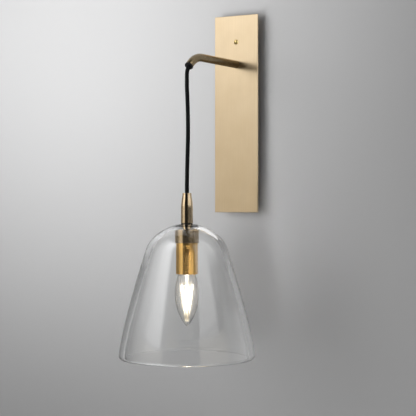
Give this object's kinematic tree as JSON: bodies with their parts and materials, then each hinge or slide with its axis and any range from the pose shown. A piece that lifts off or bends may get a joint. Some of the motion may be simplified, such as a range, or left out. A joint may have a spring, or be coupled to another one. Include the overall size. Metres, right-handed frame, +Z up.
{
  "type": "wall sconce",
  "caption": "Wall light: tall flat plate on a back box, bent tube arm, textile cord with a tapered grip, and a thick clear glass bell that swings round a candle bulb.",
  "frame": {"origin": "on the wall plane, behind the centre of the front plate", "axes": "+Z up, +Y into the wall, -Y out into the room, +X to the right seen from the room"},
  "size_m": [0.197, 0.2628, 0.5154],
  "materials": {
    "steel": "zinc plated",
    "black_paint": "satin black paint",
    "plate_brass": "brushed, pale champagne",
    "screw_brass": "polished",
    "aged_brass": "aged, satin",
    "black_plastic": "matt",
    "textile": "braided textile sleeve",
    "wire_plastic": "insulated copper wire",
    "white_plastic": "moulded nylon",
    "contact_brass": "machined",
    "black_rubber": "matt",
    "clear_glass": "clear, blown",
    "holder_plastic": "moulded heatproof plastic",
    "cap_metal": "rolled thread",
    "gold_brass": "polished, warm gold",
    "dark_glass": "glazed insulator",
    "bulb_glass": "clear, thin",
    "filament": "coated strip, lit"
  },
  "bodies": {
    "base": {"wall_bracket": "steel", "bracket_post": "steel", "back_box": "black_paint", "front_plate": "plate_brass", "plate_screw": "screw_brass", "arm_tube": "aged_brass", "arm_washer": "steel", "arm_nut": "steel", "mouth_bush": "black_plastic", "cord_in_arm": "textile", "core_wires": "wire_plastic", "terminal_block": "white_plastic", "terminal_screws": "steel", "block_screw": "steel", "earth_washer": "contact_brass", "earth_screw": "contact_brass"},
    "flex": {"cord_flex": "textile"},
    "cord": {"cord_drop": "textile"},
    "pendant": {"cord_in_grip": "textile", "cord_grip": "aged_brass", "cord_clamp": "white_plastic", "hollow_stem": "contact_brass", "top_washer": "black_rubber", "glass_shade": "clear_glass", "shade_gasket": "black_rubber", "socket_collar": "aged_brass", "holder_cap": "holder_plastic", "lampholder": "holder_plastic", "holder_screws": "contact_brass", "thread_shell": "cap_metal", "centre_contact": "contact_brass", "socket_sleeve": "gold_brass"},
    "bulb_seat": {"bulb_contact": "contact_brass"},
    "bulb": {"bulb_insulator": "dark_glass", "bulb_cap": "cap_metal", "bulb_glass": "bulb_glass", "bulb_stem": "bulb_glass", "bulb_filaments": "filament", "filament_wires": "steel"}
  },
  "joints": [
    {"name": "swing_in_out", "type": "hinge", "parent": "base", "child": "flex", "pos_m": [0, -0.1643, 0.0428], "axis": [-1, 0, 0], "range_deg": [-9, 35]},
    {"name": "swing_sideways", "type": "hinge", "parent": "flex", "child": "cord", "pos_m": [0, -0.1643, 0.0308], "axis": [0, 1, 0], "range_deg": [-30, 30]},
    {"name": "shade_twist", "type": "hinge", "parent": "cord", "child": "pendant", "pos_m": [0, -0.1643, -0.1232], "axis": [0, 0, 1], "range_deg": [-90, 90]},
    {"name": "bulb_travel", "type": "slide", "parent": "pendant", "child": "bulb_seat", "axis": [0, 0, -1], "range_m": [0, 0.017]},
    {"name": "bulb_turn", "type": "hinge", "parent": "bulb_seat", "child": "bulb", "pos_m": [0, -0.1643, -0.2412], "axis": [0, 0, -1], "range_deg": [0, 2160]}
  ],
  "couplings": [
    {"joint": "bulb_travel", "follows": "bulb_turn", "m_per_rad": 0.00044882}
  ]
}
